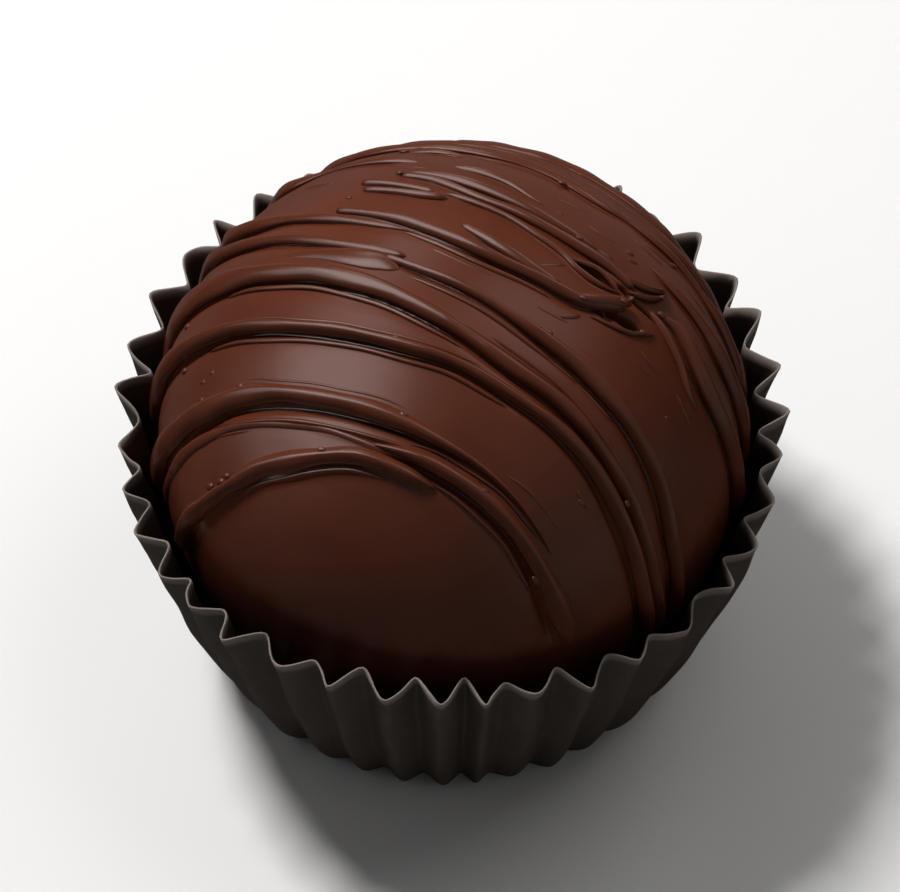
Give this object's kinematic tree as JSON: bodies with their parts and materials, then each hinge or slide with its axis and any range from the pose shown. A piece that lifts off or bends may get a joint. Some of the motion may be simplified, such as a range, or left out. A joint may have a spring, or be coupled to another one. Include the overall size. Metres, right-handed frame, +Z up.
{
  "type": "dark chocolate bonbon",
  "caption": "Round bonbon coated in dark chocolate, drizzled with fine parallel ridges of the same chocolate and set in a fluted dark paper case.",
  "frame": {"origin": "middle of the paper case's flat base, where it stands on a table", "axes": "+Z up through the bonbon; the drizzle runs in plan at 26 degrees from +X towards -Y, and the viewer in front looks along +Y"},
  "size_m": [0.0508, 0.0507, 0.0428],
  "materials": {
    "chocolate": "satin",
    "case_paper": "matte"
  },
  "bodies": {
    "root": {"bonbon": "chocolate", "paper_case": "case_paper"}
  },
  "joints": []
}
